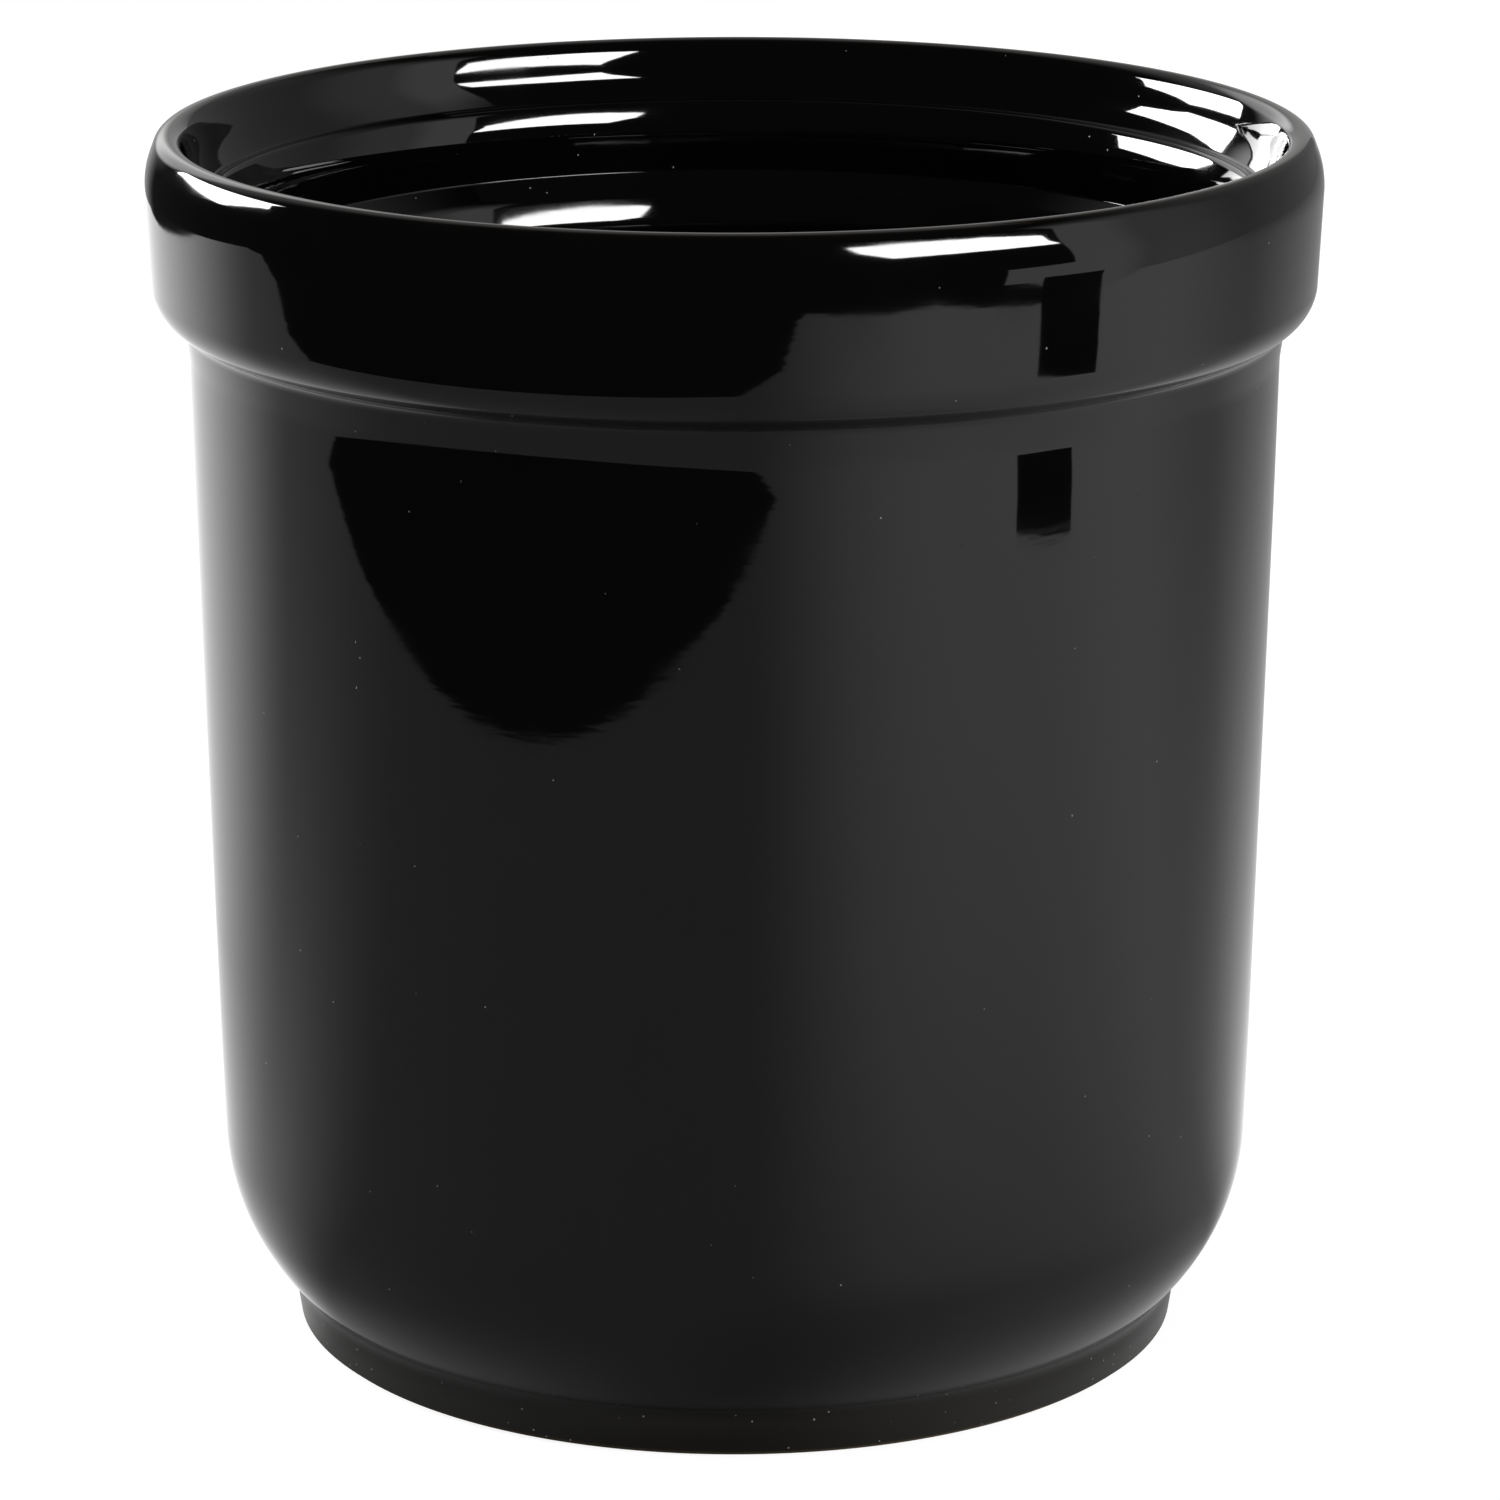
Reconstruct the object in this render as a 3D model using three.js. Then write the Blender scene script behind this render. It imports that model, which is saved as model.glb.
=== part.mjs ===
// An open stoneware crock: one fired clay body under three coats of glaze, in millimetres with +Z up.
// The foot ring stands on z = 0 and the Z axis is the axis of turning.
import * as THREE from 'three';

// Overall sizes, over the glaze
const HEIGHT = 175;
const BODY_RADIUS = 77.4;
const GLAZE_THICKNESS = 0.5;
const GLAZE_CLEARANCE = 0.02;

// Body
const BODY_DRAFT = 3.1;
const BODY_WALL = 9.2;
const BODY_BASE_RISE = 8.7;
const BODY_BASE_ROUND = 30;
const FLOOR_THICKNESS = 9;
const FLOOR_CORNER_ROUND = 14;

// Foot
const FOOT_HEIGHT = 9.1;
const FOOT_SETBACK = 7.6;
const FOOT_TAPER = 3.1;
const FOOT_CREASE_ROUND = 0.8;
const FOOT_EDGE_ROUND = 0.9;
const FOOT_INNER_ROUND = 1.2;
const FOOT_RING_WIDTH = 7.5;
const BARE_FOOT_HEIGHT = 0.9;
const RECESS_DEPTH = 3.2;
const RECESS_TAPER = 1.4;

// Collar and lip
const COLLAR_DEPTH = 26.4;
const COLLAR_OVERHANG = 4.8;
const COLLAR_UNDERSIDE_RISE = 2;
const COLLAR_CREASE_ROUND = 2.5;
const COLLAR_EDGE_ROUND = 5;
const COLLAR_FLARE = 0.9;
const LIP_BEND_DEPTH = 5.1;
const LIP_BEND_ROUND = 12;
const LIP_SETBACK = 2;
const LIP_TOP_WIDTH = 2.9;
const LIP_OUTER_ROUND = 1.4;
const LIP_INNER_ROUND = 1.4;

// Mouth, which narrows in a shallow S to the gallery that a lid can rest on
const MOUTH_BULGE_DEPTH = 2.9;
const MOUTH_BULGE_LEAN = 1.2;
const MOUTH_BULGE_ROUND = 10;
const MOUTH_HOLLOW_DEPTH = 5.5;
const MOUTH_HOLLOW_LEAN = 0.4;
const MOUTH_HOLLOW_ROUND = 11;
const GALLERY_DEPTH = 8.7;
const GALLERY_LEAN = 1.2;
const GALLERY_COVE_ROUND = 0.9;
const GALLERY_WIDTH = 2;
const GALLERY_EDGE_ROUND = 0.4;

// Neck below the gallery, and the shoulder under it
const NECK_HEIGHT = 10.6;
const NECK_ROUND_DEPTH = 2.6;
const NECK_ROUND_LEAN = 1.1;
const NECK_ROUND = 8.5;
const NECK_TAPER = 0.3;
const NECK_CREASE_ROUND = 0.5;
const SHOULDER_SLOPE = THREE.MathUtils.degToRad(40);
const SHOULDER_ROUND = 9.6;

// Fineness of the turned surfaces
const SEGMENTS = 48;
const ROUND_ERROR = 0.15;
const SAME_POINT = 1e-3;

// Finishes
const CLAY = { color: 0x8f7d63, roughness: 0.85, metalness: 0 };
const GLAZE = { color: 0x0b0b0c, roughness: 0.06, metalness: 0 };

// A corner of an outline: its distance from the axis, its height, and the round on it.
const corner = (radius, height, round = 0) => ({ point: new THREE.Vector2(radius, height), round });

// An outward corner's round is the clay's own, and the coat over it adds its thickness.
const coated = (round) => round + GLAZE_THICKNESS;

// The points of an outline with an arc at each corner. Arcs that would meet on a side shrink to share it.
function roundedOutline(corners) {
  const ends = corners.length - 1;
  const sides = corners.slice(1).map(({ point }, i) => point.clone().sub(corners[i].point));
  const turns = corners.map((_, i) => (i > 0 && i < ends ? sides[i - 1].angleTo(sides[i]) : 0));
  const reaches = corners.map(({ round }, i) => round * Math.tan(turns[i] / 2));
  const share = sides.map((side, i) => Math.min(1, side.length() / (reaches[i] + reaches[i + 1])));
  const points = [corners[0].point];
  for (let i = 1; i < ends; i += 1) {
    const round = corners[i].round * Math.min(share[i - 1], share[i]);
    const reach = round * Math.tan(turns[i] / 2);
    const bend = Math.sign(sides[i - 1].cross(sides[i]));
    const along = sides[i - 1].clone().normalize();
    const start = corners[i].point.clone().addScaledVector(along, -reach);
    const centre = new THREE.Vector2(-along.y, along.x).multiplyScalar(bend * round).add(start);
    const step = 2 * Math.acos(Math.max(0, 1 - ROUND_ERROR / round));
    const steps = round > 0 ? Math.ceil(turns[i] / step) : 0;
    for (let k = 0; k <= steps; k += 1) {
      points.push(start.clone().rotateAround(centre, (bend * turns[i] * k) / Math.max(steps, 1)));
    }
  }
  points.push(corners[ends].point);
  return points.filter((point, i) => i === 0 || point.distanceTo(points[i - 1]) > SAME_POINT);
}

// The surface that lies a depth under an outline: each side moved to its left by that depth.
function under(points, depth) {
  const left = (from, to) => {
    const along = to.clone().sub(from).normalize();
    return new THREE.Vector2(-along.y, along.x);
  };
  return points.map((point, i) => {
    const before = i > 0 ? left(points[i - 1], point) : left(point, points[i + 1]);
    const after = i < points.length - 1 ? left(point, points[i + 1]) : before;
    const middle = before.clone().add(after).normalize();
    return point.clone().addScaledVector(middle, depth / middle.dot(before));
  });
}

// A turned piece from its outline, which goes up on the outer side and down on the inner side.
function turned(name, outline, finish) {
  const geometry = new THREE.LatheGeometry(outline, SEGMENTS);
  geometry.rotateX(Math.PI / 2);
  const mesh = new THREE.Mesh(geometry, new THREE.MeshStandardMaterial(finish));
  mesh.name = name;
  return mesh;
}

// Heights that several outlines share
const bodyBaseHeight = FOOT_HEIGHT + BODY_BASE_RISE;
const collarHeight = HEIGHT - COLLAR_DEPTH;
const galleryHeight = HEIGHT - GALLERY_DEPTH;
const neckHeight = galleryHeight - NECK_HEIGHT;
const floorHeight = RECESS_DEPTH + FLOOR_THICKNESS;

// Radii that follow from the body's
const bodyRadius = (height) =>
  BODY_RADIUS - (BODY_DRAFT * (collarHeight - height)) / (collarHeight - bodyBaseHeight);
const footTopRadius = bodyRadius(bodyBaseHeight) - FOOT_SETBACK;
const footRadius = (height) => footTopRadius - (FOOT_TAPER * (FOOT_HEIGHT - height)) / FOOT_HEIGHT;
const collarRadius = BODY_RADIUS + COLLAR_OVERHANG;
const lipRadius = collarRadius + COLLAR_FLARE;
const lipTopRadius = lipRadius - LIP_SETBACK;
const mouthRadius = lipTopRadius - LIP_TOP_WIDTH;
const crestRadius = (lipTopRadius + mouthRadius) / 2;
const bulgeRadius = mouthRadius - MOUTH_BULGE_LEAN;
const hollowRadius = bulgeRadius - MOUTH_HOLLOW_LEAN;
const coveRadius = hollowRadius - GALLERY_LEAN;
const ledgeRadius = coveRadius - GALLERY_WIDTH;
const neckRadius = ledgeRadius - NECK_ROUND_LEAN;
const creaseRadius = neckRadius - NECK_TAPER;
const insideRadius = (height) => bodyRadius(height) - BODY_WALL;
const shoulderDrop = (creaseRadius - insideRadius(neckHeight)) * Math.tan(SHOULDER_SLOPE);
const shoulderHeight = neckHeight - shoulderDrop;

// Outside of the finished crock, from the glaze line on the foot up to the crest of the lip
const outside = roundedOutline([
  corner(footRadius(BARE_FOOT_HEIGHT), BARE_FOOT_HEIGHT),
  corner(footTopRadius, FOOT_HEIGHT, FOOT_CREASE_ROUND),
  corner(bodyRadius(bodyBaseHeight), bodyBaseHeight, coated(BODY_BASE_ROUND)),
  corner(BODY_RADIUS, collarHeight, COLLAR_CREASE_ROUND),
  corner(collarRadius, collarHeight + COLLAR_UNDERSIDE_RISE, coated(COLLAR_EDGE_ROUND)),
  corner(lipRadius, HEIGHT - LIP_BEND_DEPTH, coated(LIP_BEND_ROUND)),
  corner(lipTopRadius, HEIGHT, coated(LIP_OUTER_ROUND)),
  corner(crestRadius, HEIGHT),
]);

// Inside of the finished crock, from the crest of the lip down to the middle of the floor
const inside = roundedOutline([
  corner(crestRadius, HEIGHT),
  corner(mouthRadius, HEIGHT, coated(LIP_INNER_ROUND)),
  corner(bulgeRadius, HEIGHT - MOUTH_BULGE_DEPTH, coated(MOUTH_BULGE_ROUND)),
  corner(hollowRadius, HEIGHT - MOUTH_HOLLOW_DEPTH, MOUTH_HOLLOW_ROUND),
  corner(coveRadius, galleryHeight, GALLERY_COVE_ROUND),
  corner(ledgeRadius, galleryHeight, coated(GALLERY_EDGE_ROUND)),
  corner(neckRadius, galleryHeight - NECK_ROUND_DEPTH, coated(NECK_ROUND)),
  corner(creaseRadius, neckHeight, NECK_CREASE_ROUND),
  corner(insideRadius(shoulderHeight), shoulderHeight, coated(SHOULDER_ROUND)),
  corner(insideRadius(floorHeight), floorHeight, FLOOR_CORNER_ROUND),
  corner(0, floorHeight),
]);

// Two depths under the finished surfaces: the back of the coats, and the clay just clear of them
const clayDepth = GLAZE_THICKNESS + GLAZE_CLEARANCE;
const crestUnder = (depth) => new THREE.Vector2(crestRadius, HEIGHT - depth);
const outsideUnder = (depth) => [...under(outside, depth).slice(0, -1), crestUnder(depth)];
const insideUnder = (depth) => [crestUnder(depth), ...under(inside, depth).slice(1)];
const clayOutside = outsideUnder(clayDepth);
const clayInside = insideUnder(clayDepth);

// Foot ring of bare clay around the recessed underside
const glazeLine = clayOutside[0];
const footBaseRadius = footRadius(0) - clayDepth;
const recessRadius = footBaseRadius - FOOT_RING_WIDTH;
const ceilingRadius = recessRadius - RECESS_TAPER;
const clayCeiling = RECESS_DEPTH + clayDepth;
const footRing = roundedOutline([
  corner(0, clayCeiling),
  corner(ceilingRadius, clayCeiling),
  corner(ceilingRadius, RECESS_DEPTH),
  corner(recessRadius, 0, FOOT_INNER_ROUND),
  corner(footBaseRadius, 0, FOOT_EDGE_ROUND),
  corner(glazeLine.x, glazeLine.y),
]);

function clayBody() {
  return turned('clay_body', [...footRing, ...clayOutside.slice(1), ...clayInside.slice(1)], CLAY);
}

function outerGlaze() {
  const back = outsideUnder(GLAZE_THICKNESS).toReversed();
  return turned('outer_glaze', [...outside, ...back, outside[0]], GLAZE);
}

function linerGlaze() {
  const back = insideUnder(GLAZE_THICKNESS).toReversed();
  return turned('liner_glaze', [...back, ...inside], GLAZE);
}

function undersideGlaze() {
  const radius = ceilingRadius - GLAZE_CLEARANCE;
  const back = RECESS_DEPTH + GLAZE_THICKNESS;
  const outline = roundedOutline([
    corner(0, RECESS_DEPTH),
    corner(radius, RECESS_DEPTH),
    corner(radius, back),
    corner(0, back),
  ]);
  return turned('underside_glaze', outline, GLAZE);
}

const crock = new THREE.Group();
crock.add(clayBody(), outerGlaze(), linerGlaze(), undersideGlaze());

export default crock;
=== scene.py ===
"""A black glazed stoneware crock on a pale studio table.

The clay body is turned on the Z axis and stands on z = 0. Three fired coats of glaze lie on it: one outside,
one inside and one under the base. Outlines are in millimetres, and the pieces made from them are in metres.
"""

import math

import bpy
from mathutils import Matrix, Vector


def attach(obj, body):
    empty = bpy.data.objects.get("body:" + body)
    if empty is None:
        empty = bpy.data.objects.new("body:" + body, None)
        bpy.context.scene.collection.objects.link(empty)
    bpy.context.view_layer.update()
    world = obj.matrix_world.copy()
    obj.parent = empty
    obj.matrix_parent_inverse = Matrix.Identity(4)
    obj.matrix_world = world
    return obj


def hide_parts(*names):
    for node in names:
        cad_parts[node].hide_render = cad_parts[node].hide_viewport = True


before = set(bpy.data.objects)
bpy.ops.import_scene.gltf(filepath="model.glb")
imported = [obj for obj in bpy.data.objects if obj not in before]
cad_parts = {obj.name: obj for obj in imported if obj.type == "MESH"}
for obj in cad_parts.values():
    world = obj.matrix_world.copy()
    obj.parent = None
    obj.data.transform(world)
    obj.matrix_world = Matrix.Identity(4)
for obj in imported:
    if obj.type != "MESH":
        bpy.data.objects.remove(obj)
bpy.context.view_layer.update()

MM = 0.001

# Overall sizes, over the glaze
HEIGHT = 175.0
BODY_RADIUS = 77.4
GLAZE_THICKNESS = 0.5
GLAZE_CLEARANCE = 0.02

# Body, whose wall bows out a little between the foot and the collar
BODY_DRAFT = 3.1
BODY_WALL = 9.2
BODY_BASE_RISE = 11.2
BODY_BASE_ROUND = 31.0
BODY_BOW = 0.27
BODY_BOW_ROUND = 9000.0
FLOOR_THICKNESS = 9.0
FLOOR_CORNER_ROUND = 14.0

# Foot, upright under its crease and then drawn in to the table
FOOT_HEIGHT = 6.6
FOOT_SETBACK = 9.6
FOOT_BEND_HEIGHT = 4.0
FOOT_BEND_LEAN = 0.05
FOOT_BEND_ROUND = 10.0
FOOT_TAPER = 0.6
FOOT_CREASE_ROUND = 3.2
FOOT_EDGE_ROUND = 0.9
FOOT_INNER_ROUND = 1.2
FOOT_RING_WIDTH = 7.5
BARE_FOOT_HEIGHT = 0.9
RECESS_DEPTH = 3.2
RECESS_TAPER = 1.4

# Collar and lip, with a soft hollow where the wall runs out under the collar
COLLAR_DEPTH = 26.4
COLLAR_OVERHANG = 4.8
COLLAR_UNDERSIDE_RISE = 2.0
COLLAR_HOLLOW_DEPTH = 4.9
COLLAR_HOLLOW_LEAN = 0.6
COLLAR_HOLLOW_ROUND = 12.0
COLLAR_CREASE_ROUND = 2.5
COLLAR_EDGE_ROUND = 6.4
COLLAR_FLARE = 0.9
LIP_BEND_DEPTH = 5.1
LIP_BEND_ROUND = 12.0
LIP_SETBACK = 2.0
LIP_TOP_WIDTH = 2.9
LIP_OUTER_ROUND = 1.4
LIP_INNER_ROUND = 1.9

# Mouth, which narrows in a shallow S to the gallery that a lid can rest on
MOUTH_BULGE_DEPTH = 2.85
MOUTH_BULGE_LEAN = 1.065
MOUTH_BULGE_ROUND = 22.5
MOUTH_HOLLOW_DEPTH = 5.74
MOUTH_HOLLOW_LEAN = 0.70
MOUTH_HOLLOW_ROUND = 14.5
GALLERY_DEPTH = 8.65
GALLERY_LEAN = 1.56
GALLERY_COVE_ROUND = 0.7
GALLERY_WIDTH = 1.475
GALLERY_EDGE_ROUND = 0.65

# Neck below the gallery, and the shoulder under it
NECK_HEIGHT = 10.65
NECK_ROUND_DEPTH = 3.85
NECK_ROUND_LEAN = 1.42
NECK_ROUND = 9.7
NECK_TAPER = 0.21
NECK_CREASE_ROUND = 0.5
SHOULDER_WIDTH = 3.2
SHOULDER_SLOPE = math.radians(40)
SHOULDER_ROUND = 2.4
CHEEK_WIDTH = 1.62
CHEEK_DEPTH = 4.3
CHEEK_ROUND = 5.0

# Fineness and unevenness of the turned surfaces
ARC_STEP = math.radians(4)
LONGEST_STEP = 4.0
TURNING_STEPS = 208
SAME_POINT = 1e-3
SHARP_EDGE = math.radians(35)
UNEVENNESS = 0.08
UNEVENNESS_SPAN = 55.0


# Outlines

def corner(radius, height, rounding=0.0):
    """A corner of an outline: its distance from the axis, its height, and the radius of the round on it."""
    return Vector((radius, height)), rounding


def coated(rounding):
    """The round over the glaze on an outward corner whose round in the clay is given."""
    return rounding + GLAZE_THICKNESS


def rounded_outline(corners):
    """The points of an outline with an arc at each corner. Arcs that meet on a side shrink to share it."""
    sides = [after[0] - before[0] for before, after in zip(corners, corners[1:])]
    turns = [0.0, *(before.angle(after) for before, after in zip(sides, sides[1:])), 0.0]
    reaches = [rounding * math.tan(turn / 2) for (_, rounding), turn in zip(corners, turns)]
    spans = [first + second for first, second in zip(reaches, reaches[1:])]
    shares = [min(1.0, side.length / span) if span else 1.0 for side, span in zip(sides, spans)]
    points = [corners[0][0]]
    for i in range(1, len(corners) - 1):
        point, rounding = corners[i]
        radius = rounding * min(shares[i - 1], shares[i])
        bend = math.copysign(turns[i], sides[i - 1].cross(sides[i]))
        along = sides[i - 1].normalized()
        start = point - along * radius * math.tan(turns[i] / 2)
        centre = start + Vector((-along.y, along.x)) * math.copysign(radius, bend)
        steps = math.ceil(turns[i] / ARC_STEP) if radius else 1
        for step in range(steps + 1):
            points.append(centre + Matrix.Rotation(bend * step / steps, 2) @ (start - centre))
    points.append(corners[-1][0])
    kept = [after for before, after in zip(points, points[1:]) if (after - before).length > SAME_POINT]
    return [points[0], *kept]


def under(points, depth):
    """The surface that lies a depth under an outline: each side moved to its left by that depth."""
    lefts = []
    for before, after in zip(points, points[1:]):
        along = (after - before).normalized()
        lefts.append(Vector((-along.y, along.x)))
    moved = []
    for point, before, after in zip(points, [lefts[0], *lefts], [*lefts, lefts[-1]]):
        middle = (before + after).normalized()
        moved.append(point + middle * depth / middle.dot(before))
    return moved


# Heights that several outlines share
body_base_height = FOOT_HEIGHT + BODY_BASE_RISE
collar_height = HEIGHT - COLLAR_DEPTH
gallery_height = HEIGHT - GALLERY_DEPTH
neck_height = gallery_height - NECK_HEIGHT
floor_height = RECESS_DEPTH + FLOOR_THICKNESS


def body_radius(height):
    """The wall's radius at a height, without its bow."""
    return BODY_RADIUS - BODY_DRAFT * (collar_height - height) / (collar_height - body_base_height)


# Radii that follow from the body's
foot_top_radius = body_radius(body_base_height) - FOOT_SETBACK
collar_radius = BODY_RADIUS + COLLAR_OVERHANG
lip_radius = collar_radius + COLLAR_FLARE
lip_top_radius = lip_radius - LIP_SETBACK
mouth_radius = lip_top_radius - LIP_TOP_WIDTH
crest_radius = (lip_top_radius + mouth_radius) / 2
bulge_radius = mouth_radius - MOUTH_BULGE_LEAN
hollow_radius = bulge_radius - MOUTH_HOLLOW_LEAN
cove_radius = hollow_radius - GALLERY_LEAN
ledge_radius = cove_radius - GALLERY_WIDTH
neck_radius = ledge_radius - NECK_ROUND_LEAN
crease_radius = neck_radius - NECK_TAPER
shoulder_radius = crease_radius - SHOULDER_WIDTH
shoulder_height = neck_height - SHOULDER_WIDTH * math.tan(SHOULDER_SLOPE)


def foot_radius(height):
    """The foot's radius at a height up to its bend, over the glaze."""
    return foot_top_radius - FOOT_BEND_LEAN - FOOT_TAPER * (1 - height / FOOT_BEND_HEIGHT)


def outside_outline():
    """The outside of the finished crock, from the glaze line on the foot up to the crest of the lip."""
    bow_height = (body_base_height + collar_height) / 2
    hollow_height = collar_height - COLLAR_HOLLOW_DEPTH
    return rounded_outline([
        corner(foot_radius(BARE_FOOT_HEIGHT), BARE_FOOT_HEIGHT),
        corner(foot_radius(FOOT_BEND_HEIGHT), FOOT_BEND_HEIGHT, coated(FOOT_BEND_ROUND)),
        corner(foot_top_radius, FOOT_HEIGHT, FOOT_CREASE_ROUND),
        corner(body_radius(body_base_height), body_base_height, coated(BODY_BASE_ROUND)),
        corner(body_radius(bow_height) + BODY_BOW, bow_height, BODY_BOW_ROUND),
        corner(body_radius(hollow_height), hollow_height, COLLAR_HOLLOW_ROUND),
        corner(BODY_RADIUS + COLLAR_HOLLOW_LEAN, collar_height, COLLAR_CREASE_ROUND),
        corner(collar_radius, collar_height + COLLAR_UNDERSIDE_RISE, coated(COLLAR_EDGE_ROUND)),
        corner(lip_radius, HEIGHT - LIP_BEND_DEPTH, coated(LIP_BEND_ROUND)),
        corner(lip_top_radius, HEIGHT, coated(LIP_OUTER_ROUND)),
        corner(crest_radius, HEIGHT),
    ])


def inside_outline():
    """The inside of the finished crock, from the crest of the lip down to the middle of the floor."""
    return rounded_outline([
        corner(crest_radius, HEIGHT),
        corner(mouth_radius, HEIGHT, coated(LIP_INNER_ROUND)),
        corner(bulge_radius, HEIGHT - MOUTH_BULGE_DEPTH, coated(MOUTH_BULGE_ROUND)),
        corner(hollow_radius, HEIGHT - MOUTH_HOLLOW_DEPTH, MOUTH_HOLLOW_ROUND),
        corner(cove_radius, gallery_height, GALLERY_COVE_ROUND),
        corner(ledge_radius, gallery_height, coated(GALLERY_EDGE_ROUND)),
        corner(neck_radius, gallery_height - NECK_ROUND_DEPTH, coated(NECK_ROUND)),
        corner(crease_radius, neck_height, NECK_CREASE_ROUND),
        corner(shoulder_radius, shoulder_height, coated(SHOULDER_ROUND)),
        corner(shoulder_radius - CHEEK_WIDTH, shoulder_height - CHEEK_DEPTH, coated(CHEEK_ROUND)),
        corner(body_radius(floor_height) - BODY_WALL, floor_height, FLOOR_CORNER_ROUND),
        corner(0.0, floor_height),
    ])


def clay_outline():
    """The clay under the coats, from the middle of the underside round the foot ring to the floor inside."""
    depth = GLAZE_THICKNESS + GLAZE_CLEARANCE
    outside = under(outside_outline(), depth)[:-1]
    inside = under(inside_outline(), depth)[1:]
    base_radius = foot_radius(0.0) - depth
    recess_radius = base_radius - FOOT_RING_WIDTH
    ceiling_radius = recess_radius - RECESS_TAPER
    foot_ring = rounded_outline([
        corner(0.0, RECESS_DEPTH + depth),
        corner(ceiling_radius, RECESS_DEPTH + depth),
        corner(ceiling_radius, RECESS_DEPTH),
        corner(recess_radius, 0.0, FOOT_INNER_ROUND),
        corner(base_radius, 0.0, FOOT_EDGE_ROUND),
        corner(outside[0].x, outside[0].y),
    ])
    return [*foot_ring, *outside[1:], Vector((crest_radius, HEIGHT - depth)), *inside]


def underside_outline():
    """The glazed ceiling inside the foot ring, from its middle to the ring."""
    radius = foot_radius(0.0) - GLAZE_THICKNESS - 2 * GLAZE_CLEARANCE - FOOT_RING_WIDTH - RECESS_TAPER
    return [Vector((0.0, RECESS_DEPTH)), Vector((radius, RECESS_DEPTH))]


# Modelling

def turn_on_axis(name, outline):
    """Draws an outline out from one point and turns it once round the axis. It stays in edit mode."""
    bpy.ops.object.select_all(action="DESELECT")
    bpy.ops.mesh.primitive_plane_add(size=MM)
    piece = bpy.context.object
    piece.name = name
    bpy.ops.object.mode_set(mode="EDIT")
    bpy.ops.mesh.merge(type="CENTER")
    bpy.ops.transform.translate(value=(outline[0].x * MM, 0.0, outline[0].y * MM))
    for here, there in zip(outline, outline[1:]):
        steps = math.ceil((there - here).length / LONGEST_STEP)
        step = (there - here) * MM / steps
        for _ in range(steps):
            bpy.ops.mesh.extrude_region_move(TRANSFORM_OT_translate={"value": (step.x, 0.0, step.y)})
    bpy.ops.mesh.select_all(action="SELECT")
    bpy.ops.mesh.spin(steps=TURNING_STEPS, angle=math.tau, center=(0.0, 0.0, 0.0), axis=(0.0, 0.0, 1.0))
    bpy.ops.mesh.select_all(action="SELECT")
    bpy.ops.mesh.remove_doubles(threshold=SAME_POINT * MM)
    return piece


def apply_modifier(piece, kind, settings):
    """Adds a modifier with its settings, and applies it."""
    modifier = piece.modifiers.new(kind.lower(), kind)
    for setting, value in settings.items():
        setattr(modifier, setting, value)
    bpy.ops.object.modifier_apply(modifier=modifier.name)


def make_uneven(piece):
    """Gives a turned surface the slow, shallow unevenness of shrunken clay."""
    waves = bpy.data.textures.get("shrinkage") or bpy.data.textures.new("shrinkage", "CLOUDS")
    waves.noise_scale = UNEVENNESS_SPAN * MM
    waves.noise_depth = 1
    settings = {"texture": waves, "texture_coords": "LOCAL", "strength": UNEVENNESS * MM, "mid_level": 0.5}
    apply_modifier(piece, "DISPLACE", settings)


def smooth_over(piece):
    """Shades a piece smooth, apart from its sharp edges."""
    bpy.ops.object.shade_smooth_by_angle(angle=SHARP_EDGE)
    return piece


def turned_coat(name, outline, faces_down=False):
    """A coat of glaze whose face is a turned outline, and whose thickness lies behind it."""
    piece = turn_on_axis(name, outline)
    bpy.ops.mesh.normals_make_consistent(inside=faces_down)
    bpy.ops.object.mode_set(mode="OBJECT")
    make_uneven(piece)
    settings = {"thickness": GLAZE_THICKNESS * MM, "offset": -1.0, "use_even_offset": True}
    apply_modifier(piece, "SOLIDIFY", settings)
    return smooth_over(piece)


def clay_body():
    piece = turn_on_axis("crock_clay_body", clay_outline())
    bpy.ops.mesh.normals_make_consistent(inside=False)
    bpy.ops.object.mode_set(mode="OBJECT")
    make_uneven(piece)
    return smooth_over(piece)


def outer_glaze():
    return turned_coat("crock_outer_glaze", outside_outline())


def liner_glaze():
    return turned_coat("crock_liner_glaze", inside_outline())


def underside_glaze():
    return turned_coat("crock_underside_glaze", underside_outline(), faces_down=True)


# Shader building

SPOT_CORE = 0.5
SPOT_CERTAIN = 0.9


class Wire:
    """A socket of a node tree. Arithmetic on wires adds Math nodes, and node() adds any other node."""

    def __init__(self, tree, socket=None):
        self.tree = tree
        self.socket = socket

    def node(self, kind, settings=None, inputs=None, output=0):
        """Adds a node with its settings and the values or wires of its inputs, and returns one output."""
        made = self.tree.nodes.new(kind)
        for setting, value in (settings or {}).items():
            setattr(made, setting, value)
        for place, value in (inputs or {}).items():
            if isinstance(value, Wire):
                self.tree.links.new(value.socket, made.inputs[place])
            else:
                made.inputs[place].default_value = value
        return Wire(self.tree, made.outputs[output] if made.outputs else None)

    def beside(self, output):
        """Another output of the node that this wire comes from."""
        return Wire(self.tree, self.socket.node.outputs[output])

    def math(self, operation, first, second):
        return self.node("ShaderNodeMath", {"operation": operation}, {0: first, 1: second})

    def __add__(self, other):
        return self.math("ADD", self, other)

    def __sub__(self, other):
        return self.math("SUBTRACT", self, other)

    def __rsub__(self, other):
        return self.math("SUBTRACT", other, self)

    def __mul__(self, other):
        return self.math("MULTIPLY", self, other)

    def __pow__(self, other):
        return self.math("POWER", self, other)

    __radd__ = __add__
    __rmul__ = __mul__


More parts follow.
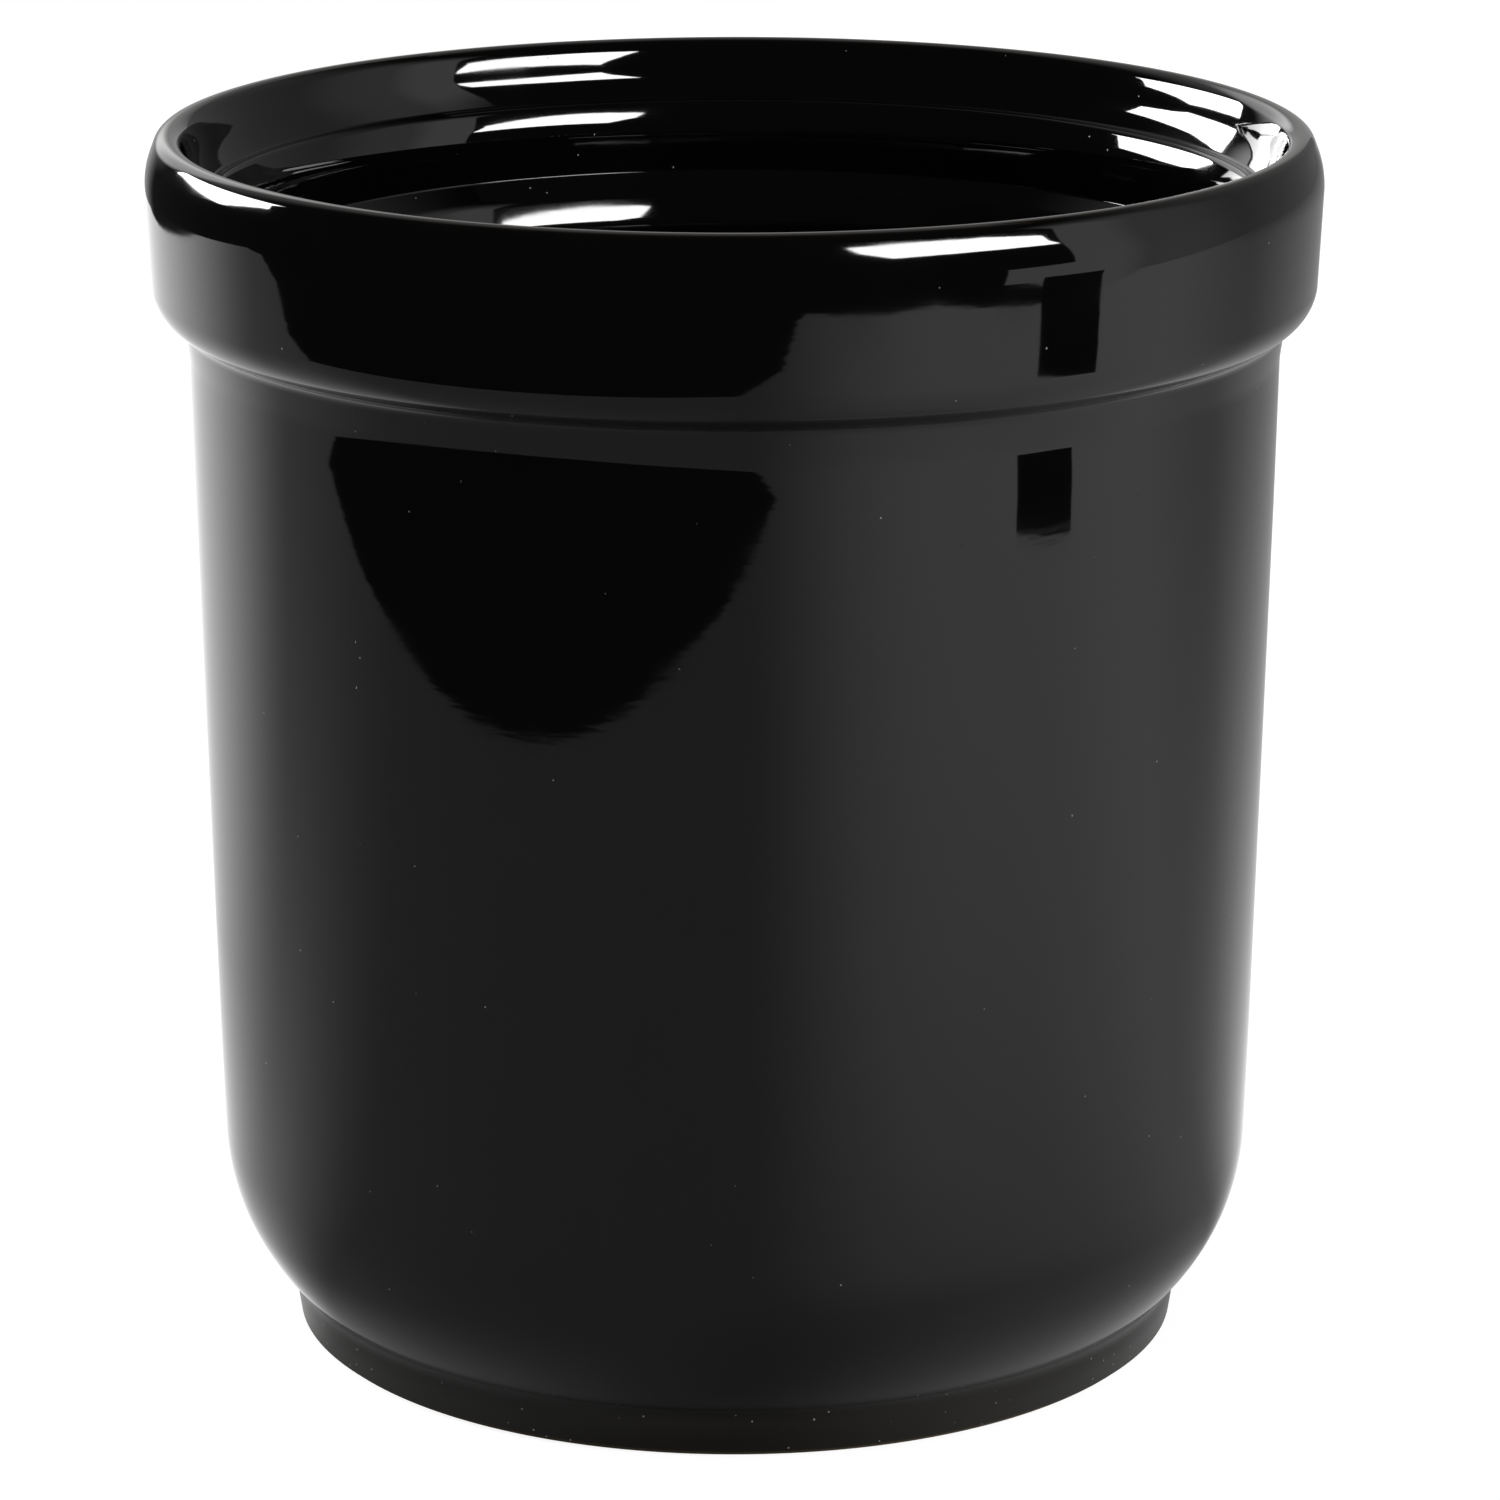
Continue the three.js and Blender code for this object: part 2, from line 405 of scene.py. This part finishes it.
def soft_step(wire, low, high):
    """A mask that goes softly from 0 at low to 1 at high."""
    inputs = {"Value": wire, "From Min": low, "From Max": high}
    return wire.node("ShaderNodeMapRange", {"interpolation_type": "SMOOTHSTEP"}, inputs)


def colour_mix(mask, bare, covered):
    """One colour where a mask is 0, and another where it is 1."""
    return mask.node("ShaderNodeMix", {"data_type": "RGBA"}, {0: mask, 6: bare, 7: covered}, output=2)


def noise(place, span, detail):
    """A cloudy pattern whose features are a span of millimetres apart."""
    inputs = {"Vector": place, "Scale": 1 / (span * MM), "Detail": detail}
    return place.node("ShaderNodeTexNoise", {}, inputs)


def spots(place, spacing, radius, share):
    """A mask of small round spots, with spacing and radius in millimetres, at a share of their places."""
    cells = place.node("ShaderNodeTexVoronoi", {}, {"Vector": place, "Scale": 1 / (spacing * MM)})
    chance = place.node("ShaderNodeSeparateColor", {}, {"Color": cells.beside("Color")})
    edge = radius / spacing
    inside = soft_step(cells, edge, SPOT_CORE * edge)
    return inside * soft_step(chance, share, SPOT_CERTAIN * share)


def new_finish(name):
    """A new material, and a wire with its Object coordinates."""
    material = bpy.data.materials.new(name)
    material.use_nodes = True
    material.node_tree.nodes.clear()
    return material, Wire(material.node_tree).node("ShaderNodeTexCoord", output="Object")


def height_of(place):
    """The height of a place over the table, in metres."""
    return place.node("ShaderNodeSeparateXYZ", {}, {"Vector": place}, output="Z")


def bumps(relief):
    """The slopes of a relief that is given in millimetres."""
    return relief.node("ShaderNodeBump", {}, {"Strength": 1.0, "Distance": MM, "Height": relief})


def set_surface(place, inputs):
    """Ends a material in one shader with these values and wires."""
    shader = place.node("ShaderNodeBsdfPrincipled", {}, inputs)
    place.node("ShaderNodeOutputMaterial", {}, {"Surface": shader})


# Finishes

# Glaze, with lengths in millimetres
GLAZE_BLACK = (0.0014, 0.0014, 0.0016, 1.0)
GLAZE_WARM_BLACK = (0.0019, 0.0018, 0.0017, 1.0)
GLAZE_THIN_BROWN = (0.010, 0.0075, 0.0045, 1.0)
DUST = (0.28, 0.27, 0.245, 1.0)
GLAZE_INDEX = 1.56
GLAZE_ROUGHNESS = 0.035
CLOUD_ROUGHNESS = 0.03
SATIN_ROUGHNESS = 0.28
DUST_ROUGHNESS = 0.4
RIPPLE_STRETCH = (1.0, 1.0, 5.0)
RIPPLE_HEIGHT = 0.003
PEEL_HEIGHT = 0.0012
PINHOLE_DEPTH = 0.06
DUST_HEIGHT = 0.03
GLAZE_WANDER = 0.4
THIN_CREST_FALL = 0.3
THIN_CREST_RISE = 0.2
THIN_LINE_WIDTH = 0.7
THIN_FOOT_SHARE = 0.5
THIN_UNDERSIDE_SHARE = 0.5
SATIN_FADE = 3.0


def black_glaze(name, thin, dull):
    """Black gloss glaze. thin and dull mask where it breaks to brown and where it loses its gloss."""
    material, place = new_finish(name)
    height = height_of(place)
    clouds = noise(place, span=14.0, detail=3.0)
    colour = colour_mix(soft_step(clouds, low=0.4, high=0.7), GLAZE_BLACK, GLAZE_WARM_BLACK)
    colour = colour_mix(thin(place, height), colour, GLAZE_THIN_BROWN)
    satin = dull(place, height)
    dust = spots(place, spacing=2.4, radius=0.18, share=0.08)
    dust = dust + satin * spots(place, spacing=1.8, radius=0.2, share=0.6)
    colour = colour_mix(dust, colour, DUST)
    roughness = GLAZE_ROUGHNESS + CLOUD_ROUGHNESS * soft_step(clouds, low=0.45, high=0.75)
    roughness = roughness + SATIN_ROUGHNESS * satin + DUST_ROUGHNESS * dust
    stretched = place.node("ShaderNodeMapping", {}, {"Vector": place, "Scale": RIPPLE_STRETCH})
    ripples = noise(stretched, span=10.0, detail=2.0)
    peel = noise(place, span=2.2, detail=1.0)
    pinholes = spots(place, spacing=3.0, radius=0.2, share=0.05)
    relief = RIPPLE_HEIGHT * ripples + PEEL_HEIGHT * peel - PINHOLE_DEPTH * pinholes + DUST_HEIGHT * dust
    surface = {"Base Color": colour, "Roughness": roughness, "Normal": bumps(relief), "IOR": GLAZE_INDEX}
    set_surface(place, surface)
    return material


def poured_edge(place, height):
    """Heights that wander a little, as the edges of a poured coat do."""
    return height + GLAZE_WANDER * MM * noise(place, span=5.0, detail=2.0)


def thin_crest(edge):
    """Where the glaze has run thin on the crest of the lip."""
    return soft_step(edge, (HEIGHT - THIN_CREST_FALL) * MM, (HEIGHT + THIN_CREST_RISE) * MM)


def satin_below(top, height):
    """Where the glaze is satin: up to a height in millimetres, and fading out above it."""
    return soft_step(height, (top + SATIN_FADE) * MM, top * MM)


def outer_glaze_finish():
    """Thin on the crest of the lip and along the glaze line, and duller on the foot."""
    def thin(place, height):
        edge = poured_edge(place, height)
        line = soft_step(edge, (BARE_FOOT_HEIGHT + THIN_LINE_WIDTH) * MM, BARE_FOOT_HEIGHT * MM)
        return thin_crest(edge) + line + THIN_FOOT_SHARE * dull(place, height)

    def dull(place, height):
        return satin_below(FOOT_HEIGHT, height)

    return black_glaze("outer_black_glaze", thin, dull)


def liner_glaze_finish():
    """Thin on the crest of the lip, and scuffed dull on the floor."""
    def thin(place, height):
        return thin_crest(poured_edge(place, height))

    def dull(place, height):
        return satin_below(floor_height, height) * noise(place, span=8.0, detail=4.0)

    return black_glaze("liner_black_glaze", thin, dull)


def underside_glaze_finish():
    """Sprayed thin, so that it is duller and browner in patches."""
    def thin(place, height):
        return THIN_UNDERSIDE_SHARE * soft_step(noise(place, span=20.0, detail=4.0), low=0.5, high=0.75)

    def dull(place, height):
        return soft_step(noise(place, span=12.0, detail=4.0), low=0.3, high=0.7)

    return black_glaze("underside_black_glaze", thin, dull)


# Bare clay, with lengths in millimetres
CLAY_BUFF = (0.30, 0.225, 0.145, 1.0)
CLAY_TOASTED = (0.20, 0.115, 0.055, 1.0)
CLAY_STAINED = (0.120, 0.095, 0.062, 1.0)
CLAY_IRON = (0.035, 0.022, 0.014, 1.0)
CLAY_ROUGHNESS = 0.75
GRAIN_ROUGHNESS = 0.2
GRAIN_HEIGHT = 0.06
LUMP_HEIGHT = 0.05
STAIN_WANDER = 0.5
STAIN_START = 0.25
STAIN_FULL = 0.6


def bare_clay_finish():
    """Buff stoneware with iron specks, toasted in patches and stained where the glaze was wiped off."""
    material, place = new_finish("bare_stoneware")
    clouds = noise(place, span=11.0, detail=4.0)
    grain = noise(place, span=0.6, detail=3.0)
    lumps = noise(place, span=2.0, detail=3.0)
    wander = STAIN_WANDER * MM * noise(place, span=3.0, detail=3.0)
    stain = soft_step(height_of(place) + wander, STAIN_START * MM, STAIN_FULL * MM)
    colour = colour_mix(soft_step(clouds, low=0.4, high=0.65), CLAY_BUFF, CLAY_TOASTED)
    colour = colour_mix(spots(place, spacing=2.4, radius=0.35, share=0.35), colour, CLAY_IRON)
    colour = colour_mix(stain, colour, CLAY_STAINED)
    roughness = CLAY_ROUGHNESS + GRAIN_ROUGHNESS * grain
    relief = GRAIN_HEIGHT * grain + LUMP_HEIGHT * lumps
    set_surface(place, {"Base Color": colour, "Roughness": roughness, "Normal": bumps(relief)})
    return material


# Studio, in metres, with bearings from the camera's side of the crock that grow to the right

CAMERA_PLACE = (0.00214, -0.86044, 0.32436)
CAMERA_DIP = math.radians(15.619)
CAMERA_LENS = 148.08
CAMERA_SENSOR = 36.0
FRAME_SHIFT = 0.0002

# Light panels, cards and the grey wall: corners as bearings and elevations in degrees, seen from the lip
PANEL_CENTRE = Vector((0.0, 0.0, 0.17))
PANEL_DISTANCE = 3.0
PANEL_LEVEL = 22.0
KEY_PANEL = ((22.5, 30.5), (31.0, 22.8), (66.0, 19.8), (63.5, 24.8))
SIDE_PANEL = ((-101.5, 23.0), (-102.5, 15.5), (-117.0, 9.3), (-138.0, 4.3), (-139.5, 15.5))
LOW_CARD_LEVEL = 0.75
LOW_CARD = ((52.0, 0.0), (52.0, -14.0), (66.0, -14.5), (76.0, -16.0), (76.0, 0.0))
GREY_WALL = ((66.5, 48.0), (66.5, 0.0), (71.0, -16.0), (164.0, -12.0), (164.0, 48.0))
# The grey wall's painted glow: its level, where it is lit brightest, and the heights where it fades to
# painted shade
WALL_LEVEL = 0.20
WALL_BRIGHT_BEARING = math.radians(70)
WALL_WIDE_GLOW = 0.25
WALL_NEAR_GLOW = 0.30
WALL_DARK_HEIGHT = 2.4
WALL_LIT_HEIGHT = 1.3

# Table: its edges as bearings and distances from the crock
TABLE_SPAN = 6.0
TABLE_LEVEL = -0.1 * MM
TABLE_FRONT_LEFT = (math.radians(-39.1), 0.394)
TABLE_FRONT = (math.radians(20.0), 0.635)
TABLE_FRONT_RIGHT = (math.radians(50.0), 0.645)
TABLE_BACK_LEFT = (math.radians(-130.0), 0.80)
TABLE_GREY = (0.26, 0.26, 0.26, 1.0)
TABLE_PALE_GREY = (0.28, 0.28, 0.28, 1.0)
TABLE_LIFT = 0.9

# Painted sheens on the table, glowing only in mirrored views: each one's bearing, spread, level far off, and
# what is added near by
KEY_SHEEN = (math.radians(59.0), 0.47, 0.63, -0.045)
BACK_SHEEN = (math.radians(-150.0), 0.36, 1.22, -0.184)
LEFT_SHEEN = (math.radians(-130.0), 0.55, 0.0, 0.075)
RIGHT_SHEEN = (math.radians(155.0), 0.50, 0.0, 0.12)
LEAST_SHEEN = 0.3
# Painted glow on the table round the foot, in mirrored views: its level at the sides, and how far out it
# reaches
FOOT_GLOW = 0.3
FOOT_GLOW_REACH = 0.085

# Black card on the table
FLAG_BEARING = math.radians(63.0)
FLAG_DISTANCE = 0.54
FLAG_WIDTH = 0.122
FLAG_HEIGHT = 0.075
FLAG_BLACK = (0.01, 0.01, 0.01, 1.0)
FLAG_ROUGHNESS = 0.9

# Lamp, and the room round the table
LAMP_HEIGHT = 2.5
LAMP_SIZE = 2.0
LAMP_POWER = 8.0
FILL_LEVEL = 0.3
ROOM_LEVEL = 0.02
CEILING_LEVEL = 0.28
BACKDROP_LEVEL = 0.45
BACKDROP_GLOW = 1.2
BACKDROP_GLOW_BEARING = math.radians(-158.0)
BACKDROP_GLOW_ELEVATION = math.radians(16.0)


def direction(bearing, elevation):
    """The way to a place round the crock."""
    level = math.cos(elevation)
    return Vector((math.sin(bearing) * level, -math.cos(bearing) * level, math.sin(elevation)))


def vector_match(way, aim):
    """How well ways match an aim: 1 along it, and less with the angle from it."""
    return way.node("ShaderNodeVectorMath", {"operation": "DOT_PRODUCT"}, {0: way, 1: aim}, output="Value")


def bearing_match(place, bearing):
    """How well places round the crock match a bearing."""
    level = place.node("ShaderNodeVectorMath", {"operation": "MULTIPLY"}, {0: place, 1: (1.0, 1.0, 0.0)})
    outwards = place.node("ShaderNodeVectorMath", {"operation": "NORMALIZE"}, {0: level})
    return vector_match(outwards, direction(bearing, 0.0))


def panel(name, corners, finish):
    """A plain flat panel beside the crock, out of view, from the bearings and elevations of its corners."""
    bpy.ops.object.select_all(action="DESELECT")
    bpy.ops.mesh.primitive_circle_add(vertices=len(corners), fill_type="NGON")
    made = bpy.context.object
    made.name = name
    for vertex, (bearing, elevation) in zip(made.data.vertices, corners):
        towards = direction(math.radians(bearing), math.radians(elevation))
        vertex.co = PANEL_CENTRE + towards * PANEL_DISTANCE
    made.visible_camera = False
    made.data.materials.append(finish)


def lit_cloth(name, level):
    """White cloth with a light behind it."""
    material, place = new_finish(name)
    cloth = place.node("ShaderNodeEmission", {}, {"Strength": level})
    place.node("ShaderNodeOutputMaterial", {}, {"Surface": cloth})
    return material


def grey_wall_finish():
    """A grey wall's light, painted as a glow: lighter beside the key light, and dark at the top of the wall.
    """
    material, place = new_finish("grey_wall_painted_glow")
    nearness = bearing_match(place, WALL_BRIGHT_BEARING)
    wide = WALL_WIDE_GLOW * soft_step(nearness, low=0.72, high=0.98)
    near = WALL_NEAR_GLOW * soft_step(nearness, low=0.965, high=1.0)
    # Painted light: brighter towards the key light's bearing, and painted shade higher up the wall
    level = (WALL_LEVEL + wide + near) * soft_step(height_of(place), WALL_DARK_HEIGHT, WALL_LIT_HEIGHT)
    wall_glow = place.node("ShaderNodeEmission", {}, {"Color": level})
    place.node("ShaderNodeOutputMaterial", {}, {"Surface": wall_glow})
    return material


def table_finish():
    """A white table top, white to the camera, with the crock's shadow on it and a painted sheen that glows
    only in mirrored views.
    """
    material, place = new_finish("white_table_painted_sheen")
    colour = colour_mix(noise(place, span=40.0, detail=3.0), TABLE_GREY, TABLE_PALE_GREY)
    surface = place.node("ShaderNodeBsdfDiffuse", {}, {"Color": colour})
    distance = place.node("ShaderNodeVectorMath", {"operation": "LENGTH"}, {0: place}, output="Value")
    # Painted sheen: a glow on the table, seen only in mirrored views, that stands in for its gloss towards
    # the lights
    sheen = 0.0
    for bearing, spread, far, near in (KEY_SHEEN, BACK_SHEEN, LEFT_SHEEN, RIGHT_SHEEN):
        level = place.math("MAXIMUM", far + near * distance ** -1.0, LEAST_SHEEN * far)
        sheen = sheen + level * soft_step(bearing_match(place, bearing), 1 - spread, 1.0)
    # Painted glow on the table round the foot, stronger behind the crock, seen only in mirrored views
    foot_glow = FOOT_GLOW * soft_step(distance, FOOT_GLOW_REACH, foot_radius(0.0) * MM)
    sheen = sheen + foot_glow * (1 - bearing_match(place, 0.0))
    seen = place.node("ShaderNodeLightPath", output="Is Camera Ray")
    lift = TABLE_LIFT * (seen + seen.beside("Is Transmission Ray")) + sheen * seen.beside("Is Glossy Ray")
    glow = place.node("ShaderNodeEmission", {}, {"Color": lift})
    both = place.node("ShaderNodeAddShader", {}, {0: surface, 1: glow})
    place.node("ShaderNodeOutputMaterial", {}, {"Surface": both})
    return material


def table():
    """A pale table top with its edges near the crock."""
    bpy.ops.object.select_all(action="DESELECT")
    bpy.ops.mesh.primitive_plane_add(size=TABLE_SPAN, location=(0.0, 0.0, TABLE_LEVEL))
    top = bpy.context.object
    top.name = "table"
    bpy.ops.object.mode_set(mode="EDIT")
    for bearing, distance in (TABLE_FRONT_LEFT, TABLE_FRONT, TABLE_FRONT_RIGHT, TABLE_BACK_LEFT):
        outwards = direction(bearing, 0.0)
        bpy.ops.mesh.select_all(action="SELECT")
        bpy.ops.mesh.bisect(plane_co=outwards * distance, plane_no=outwards, clear_outer=True)
    bpy.ops.object.mode_set(mode="OBJECT")
    bpy.ops.object.transform_apply(location=True)
    top.data.materials.append(table_finish())


def dark_flag():
    """A small black card that stands on the table and is seen only as a mirrored patch."""
    bpy.ops.object.select_all(action="DESELECT")
    middle = direction(FLAG_BEARING, 0.0) * FLAG_DISTANCE + Vector((0.0, 0.0, FLAG_HEIGHT / 2))
    bpy.ops.mesh.primitive_plane_add(size=1.0, location=middle, rotation=(math.pi / 2, 0.0, FLAG_BEARING))
    flag = bpy.context.object
    flag.name = "dark_flag"
    flag.scale = (FLAG_WIDTH, FLAG_HEIGHT, 1.0)
    bpy.ops.object.transform_apply()
    for kind in ("camera", "diffuse", "shadow"):
        setattr(flag, "visible_" + kind, False)
    material, place = new_finish("black_card")
    set_surface(place, {"Base Color": FLAG_BLACK, "Roughness": FLAG_ROUGHNESS})
    flag.data.materials.append(material)


def overhead_lamp():
    """A weak soft lamp over the table, for the shade under the crock. It isn't mirrored in the glaze."""
    lamp = bpy.data.lights.new("overhead_lamp", "AREA")
    lamp.energy = LAMP_POWER
    lamp.size = LAMP_SIZE
    hung = bpy.data.objects.new("overhead_lamp", lamp)
    hung.location = (0.0, 0.0, LAMP_HEIGHT)
    hung.visible_glossy = False
    bpy.context.collection.objects.link(hung)


def surround():
    """White behind the crock for the camera, an even fill for colours, and a dim room in reflections."""
    world = bpy.data.worlds.new("studio")
    world.use_nodes = True
    world.node_tree.nodes.clear()
    bpy.context.scene.world = world
    way = Wire(world.node_tree).node("ShaderNodeTexCoord", output="Generated")
    away = way.node("ShaderNodeSeparateXYZ", {}, {"Vector": way}, output="Y")
    up = away.beside("Z")
    camera = way.node("ShaderNodeLightPath", output="Is Camera Ray")
    mirrored = camera.beside("Is Glossy Ray")
    seen = camera + camera.beside("Is Transmission Ray")
    ceiling = CEILING_LEVEL * soft_step(up, low=0.25, high=0.5) * soft_step(away, low=0.3, high=0.7)
    backdrop = BACKDROP_LEVEL * soft_step(away, low=0.88, high=0.98)
    towards_glow = vector_match(way, direction(BACKDROP_GLOW_BEARING, BACKDROP_GLOW_ELEVATION))
    glow = BACKDROP_GLOW * soft_step(towards_glow, low=0.945, high=0.985)
    room = ROOM_LEVEL + ceiling + backdrop + glow
    strength = seen + mirrored * room + (1 - seen) * (1 - mirrored) * FILL_LEVEL
    light = way.node("ShaderNodeBackground", {}, {"Color": strength})
    way.node("ShaderNodeOutputWorld", {}, {"Surface": light})


def camera():
    lens = bpy.data.cameras.new("camera")
    lens.lens = CAMERA_LENS
    lens.sensor_width = CAMERA_SENSOR
    stand = bpy.data.objects.new("camera", lens)
    stand.location = CAMERA_PLACE
    stand.rotation_euler = (math.pi / 2 - CAMERA_DIP, 0.0, 0.0)
    lens.shift_x = FRAME_SHIFT
    bpy.context.collection.objects.link(stand)
    bpy.context.scene.camera = stand


def dress(piece, node, finish):
    """Gives a piece its finish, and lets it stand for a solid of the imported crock."""
    piece.data.materials.append(finish)
    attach(piece, "root")
    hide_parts(node)


def studio():
    bpy.context.scene.view_settings.view_transform = "Standard"
    camera()
    table()
    surround()
    overhead_lamp()
    panel("key_panel", KEY_PANEL, lit_cloth("key_cloth", PANEL_LEVEL))
    panel("side_panel", SIDE_PANEL, lit_cloth("side_cloth", PANEL_LEVEL))
    panel("low_card", LOW_CARD, lit_cloth("low_card_white", LOW_CARD_LEVEL))
    panel("grey_wall", GREY_WALL, grey_wall_finish())
    dark_flag()


def crock():
    dress(clay_body(), "clay_body", bare_clay_finish())
    dress(outer_glaze(), "outer_glaze", outer_glaze_finish())
    dress(liner_glaze(), "liner_glaze", liner_glaze_finish())
    dress(underside_glaze(), "underside_glaze", underside_glaze_finish())


studio()
crock()
